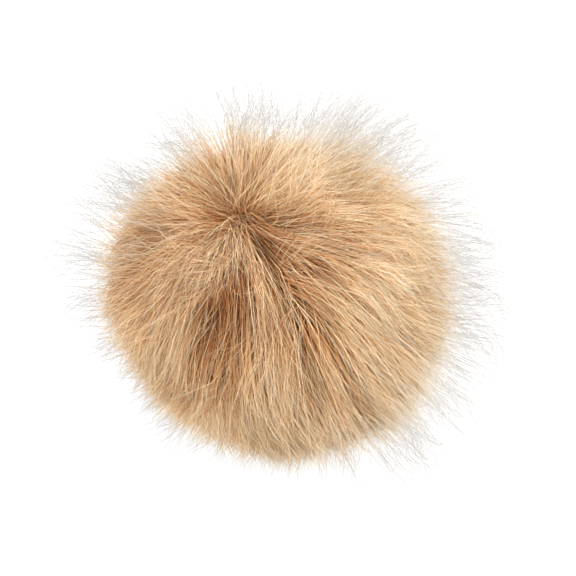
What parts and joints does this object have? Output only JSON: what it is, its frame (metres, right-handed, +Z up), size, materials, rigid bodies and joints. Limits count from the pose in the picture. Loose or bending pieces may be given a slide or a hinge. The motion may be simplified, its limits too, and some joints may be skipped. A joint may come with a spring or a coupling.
{
  "type": "faux fur pom pom",
  "caption": "Fluffy faux fur pom pom: a slightly flattened ball of long tapered fur locks that sweep away from one crown, with a small flat spot to rest on.",
  "frame": {"origin": "centre of the small flat spot that the ball rests on, on the floor plane", "axes": "+Z up, out of the flat spot through the ball; -Y towards the side where the fur's crown leans"},
  "size_m": [0.1274, 0.1262, 0.0953],
  "materials": {
    "fur": "matte long pile"
  },
  "bodies": {
    "root": {"fur_ball": "fur"}
  },
  "joints": []
}
